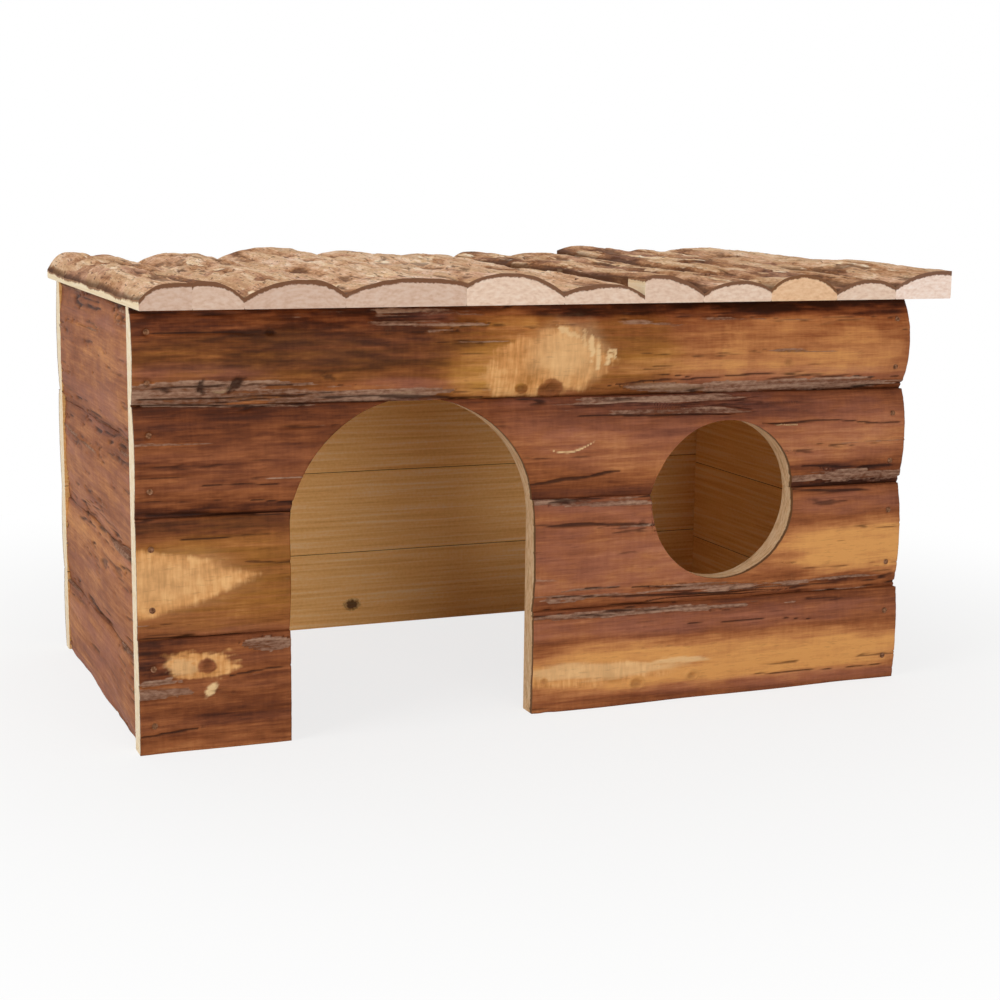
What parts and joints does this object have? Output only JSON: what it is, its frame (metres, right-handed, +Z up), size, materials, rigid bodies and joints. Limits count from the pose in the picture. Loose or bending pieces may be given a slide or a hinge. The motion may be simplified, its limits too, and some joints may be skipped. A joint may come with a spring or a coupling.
{
  "type": "rodent house",
  "caption": "Floorless wooden hide for small pets, built from bark-on boards, with an arched doorway, a round window and a flat roof of half-round slats.",
  "frame": {"origin": "on the ground, under the middle of the roof", "axes": "+X along the front wall towards the window, +Y from the doorway to the back wall, +Z up"},
  "size_m": [0.289, 0.181, 0.155],
  "materials": {
    "wall_bark": "bark-on boards, smooth reddish brown bark with bare ochre patches, pale sawn inner faces and edges",
    "roof_bark": "rough pinkish tan bark on top, pale sawn ends and underside",
    "nail_steel": "plain bright steel"
  },
  "bodies": {
    "root": {"front_bottom_left_board": "wall_bark", "front_bottom_right_board": "wall_bark", "front_middle_left_board": "wall_bark", "front_middle_right_board": "wall_bark", "front_upper_left_board": "wall_bark", "front_upper_right_board": "wall_bark", "front_top_board": "wall_bark", "left_bottom_board": "wall_bark", "left_middle_board": "wall_bark", "left_upper_board": "wall_bark", "left_top_board": "wall_bark", "right_bottom_board": "wall_bark", "right_middle_board": "wall_bark", "right_upper_board": "wall_bark", "right_top_board": "wall_bark", "back_bottom_board": "wall_bark", "back_middle_board": "wall_bark", "back_upper_board": "wall_bark", "back_top_board": "wall_bark", "roof_slat_1": "roof_bark", "roof_slat_2": "roof_bark", "roof_slat_3": "roof_bark", "roof_slat_4": "roof_bark", "roof_slat_5": "roof_bark", "roof_slat_6": "roof_bark", "roof_slat_7": "roof_bark", "roof_slat_8": "roof_bark", "roof_slat_9": "roof_bark", "roof_slat_10": "roof_bark", "roof_slat_11": "roof_bark", "front_nails": "nail_steel", "back_nails": "nail_steel", "roof_nails": "nail_steel"}
  },
  "joints": []
}
